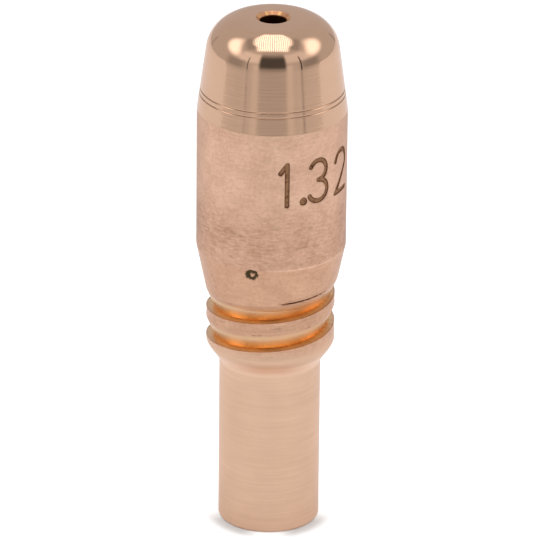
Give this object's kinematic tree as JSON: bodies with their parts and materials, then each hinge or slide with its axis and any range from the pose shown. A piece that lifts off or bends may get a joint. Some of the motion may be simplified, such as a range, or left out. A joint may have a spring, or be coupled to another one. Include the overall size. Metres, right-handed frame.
{
  "type": "welding contact tip",
  "caption": "Turned copper welding contact tip: domed nose with a wire bore, plain body, tapered seat, coarse rounded thread and a smooth tail.",
  "frame": {"origin": "centre of the flat end of the tail, on which the tip stands", "axes": "+Z along the wire bore, from the tail to the nose; the thread's groove runs out under the seat at 45 degrees from +X"},
  "size_m": [0.0094, 0.0094, 0.034],
  "materials": {
    "copper": "turned copper, bright on the nose, satin on the body and tail"
  },
  "bodies": {
    "root": {"contact_tip": "copper"}
  },
  "joints": []
}
